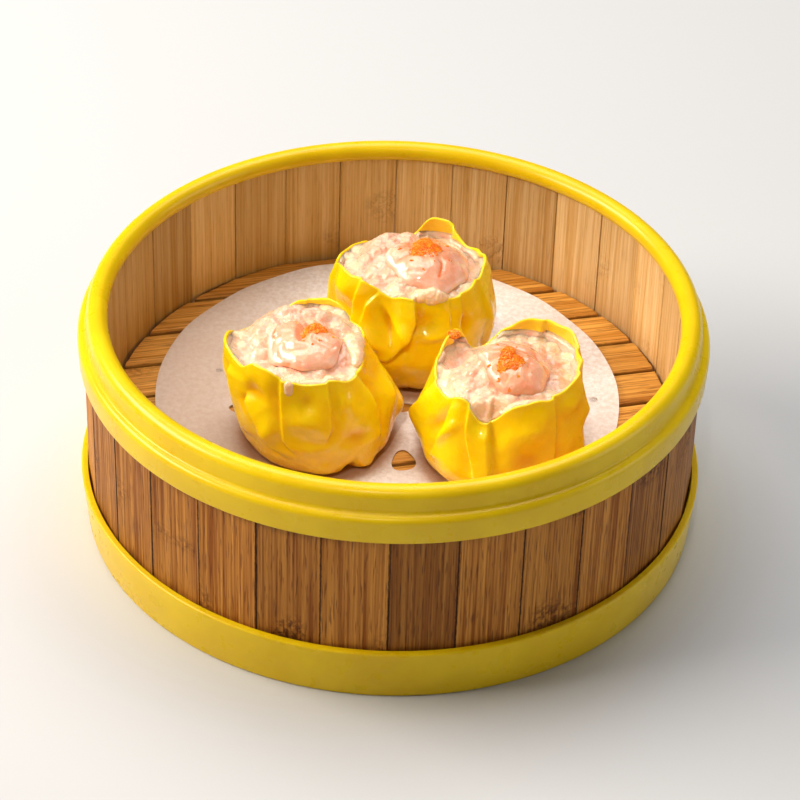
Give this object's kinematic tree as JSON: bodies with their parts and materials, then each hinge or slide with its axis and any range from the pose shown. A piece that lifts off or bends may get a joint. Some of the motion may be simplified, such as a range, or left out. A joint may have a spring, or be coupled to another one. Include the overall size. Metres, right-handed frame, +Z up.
{
  "type": "siu mai dumplings in a steamer basket",
  "caption": "Small round bamboo steamer with yellow plastic rims, a slatted floor and a paper liner, holding open yellow siu mai dumplings topped with prawn and roe.",
  "frame": {"origin": "The centre of the underside of the base ring, which stands on the table.", "axes": "+Z up, +X to the right and +Y to the back, seen from the front. The floor slats run about 14 degrees from X."},
  "size_m": [0.155, 0.155, 0.0617],
  "materials": {
    "yellow_plastic": "glossy moulded plastic",
    "bamboo": "bare planed bamboo",
    "paper": "matte baking paper",
    "egg_dough": "moist, slightly glossy steamed dough",
    "prawn_mince": "wet, lumpy",
    "cooked_prawn": "wet, smooth",
    "roe": "wet beads"
  },
  "bodies": {
    "root": {"rim_band": "yellow_plastic", "base_ring": "yellow_plastic", "stave_01": "bamboo", "stave_02": "bamboo", "stave_03": "bamboo", "stave_04": "bamboo", "stave_05": "bamboo", "stave_06": "bamboo", "stave_07": "bamboo", "stave_08": "bamboo", "stave_09": "bamboo", "stave_10": "bamboo", "stave_11": "bamboo", "stave_12": "bamboo", "stave_13": "bamboo", "stave_14": "bamboo", "stave_15": "bamboo", "stave_16": "bamboo", "stave_17": "bamboo", "stave_18": "bamboo", "stave_19": "bamboo", "stave_20": "bamboo", "stave_21": "bamboo", "stave_22": "bamboo", "stave_23": "bamboo", "stave_24": "bamboo", "stave_25": "bamboo", "stave_26": "bamboo", "stave_27": "bamboo", "stave_28": "bamboo", "stave_29": "bamboo", "stave_30": "bamboo", "slat_01": "bamboo", "slat_02": "bamboo", "slat_03": "bamboo", "slat_04": "bamboo", "slat_05": "bamboo", "slat_06": "bamboo", "slat_07": "bamboo", "slat_08": "bamboo", "slat_09": "bamboo", "slat_10": "bamboo", "slat_11": "bamboo", "paper_liner": "paper", "left_wrapper": "egg_dough", "left_filling": "prawn_mince", "left_prawn": "cooked_prawn", "left_roe": "roe", "back_wrapper": "egg_dough", "back_filling": "prawn_mince", "back_prawn": "cooked_prawn", "back_roe": "roe", "right_wrapper": "egg_dough", "right_filling": "prawn_mince", "right_prawn": "cooked_prawn", "right_roe": "roe"}
  },
  "joints": []
}
